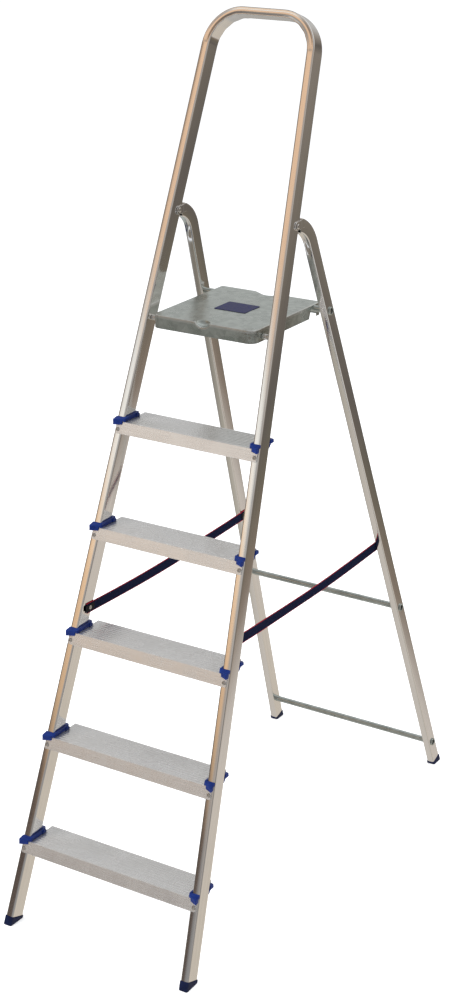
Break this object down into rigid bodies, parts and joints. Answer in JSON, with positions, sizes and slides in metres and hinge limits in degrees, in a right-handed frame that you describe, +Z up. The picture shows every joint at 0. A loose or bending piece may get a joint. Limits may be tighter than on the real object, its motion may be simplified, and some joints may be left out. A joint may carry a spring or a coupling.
{
  "type": "step ladder",
  "caption": "Folding aluminium step ladder: bent-tube front frame with ribbed treads, hoop handrail, folding platform, hinged rear legs and side straps.",
  "frame": {"origin": "on the floor, midway between the front and rear feet and midway between the stiles", "axes": "+X across the ladder (the user's right when facing it to climb), -Y the climbing side, +Z up"},
  "size_m": [0.506, 1.2212, 2.0023],
  "materials": {
    "mill_aluminium": "extruded mill finish, fine lengthwise lines",
    "ribbed_aluminium": "extruded mill finish with lengthwise ribs",
    "galvanised_steel": "galvanised sheet and tube",
    "rivet_steel": "bright plated",
    "blue_plastic": "moulded, satin",
    "navy_foot_plastic": "moulded, matt",
    "label_blue": "printed film, plain",
    "navy_webbing": "woven webbing with thin red edge lines",
    "black_tab": "moulded"
  },
  "bodies": {
    "front": {"front_frame": "mill_aluminium", "tread_1": "ribbed_aluminium", "tread_2": "ribbed_aluminium", "tread_3": "ribbed_aluminium", "tread_4": "ribbed_aluminium", "tread_5": "ribbed_aluminium", "tread_cap_1_left": "blue_plastic", "tread_cap_1_right": "blue_plastic", "tread_cap_2_left": "blue_plastic", "tread_cap_2_right": "blue_plastic", "tread_cap_3_left": "blue_plastic", "tread_cap_3_right": "blue_plastic", "tread_cap_4_left": "blue_plastic", "tread_cap_4_right": "blue_plastic", "tread_cap_5_left": "blue_plastic", "tread_cap_5_right": "blue_plastic", "tread_rivet_1_left": "rivet_steel", "tread_rivet_1_right": "rivet_steel", "tread_rivet_2_left": "rivet_steel", "tread_rivet_2_right": "rivet_steel", "tread_rivet_3_left": "rivet_steel", "tread_rivet_3_right": "rivet_steel", "tread_rivet_4_left": "rivet_steel", "tread_rivet_4_right": "rivet_steel", "tread_rivet_5_left": "rivet_steel", "tread_rivet_5_right": "rivet_steel", "front_foot_left": "navy_foot_plastic", "front_foot_right": "navy_foot_plastic", "pivot_rivet_left": "rivet_steel", "pivot_rivet_right": "rivet_steel", "platform_pin_left": "rivet_steel", "platform_pin_right": "rivet_steel", "strap_tab_front_left": "black_tab", "strap_tab_front_right": "black_tab", "strap_rivet_front_left": "rivet_steel", "strap_rivet_front_right": "rivet_steel", "strap_left": "navy_webbing", "strap_right": "navy_webbing"},
    "rear": {"rear_leg_left": "mill_aluminium", "rear_leg_right": "mill_aluminium", "rear_foot_left": "navy_foot_plastic", "rear_foot_right": "navy_foot_plastic", "crossbar_lower": "galvanised_steel", "crossbar_upper": "galvanised_steel", "platform_rod": "galvanised_steel", "strap_tab_rear_left": "black_tab", "strap_tab_rear_right": "black_tab", "strap_rivet_rear_left": "rivet_steel", "strap_rivet_rear_right": "rivet_steel"},
    "platform": {"platform": "galvanised_steel", "label_plate": "label_blue"}
  },
  "joints": [
    {"name": "rear_fold", "type": "hinge", "parent": "front", "child": "rear", "pos_m": [0, -0.01708, 1.55974], "axis": [1, 0, 0], "range_deg": [-39.3, 0], "deforming": ["strap_left", "strap_right"]},
    {"name": "platform_swing", "type": "hinge", "parent": "front", "child": "platform", "pos_m": [0, -0.10846, 1.331], "axis": [1, 0, 0], "range_deg": [0, 70.2]}
  ],
  "couplings": [
    {"joint": "platform_swing", "follows": "rear_fold", "ratio": -1.786}
  ]
}
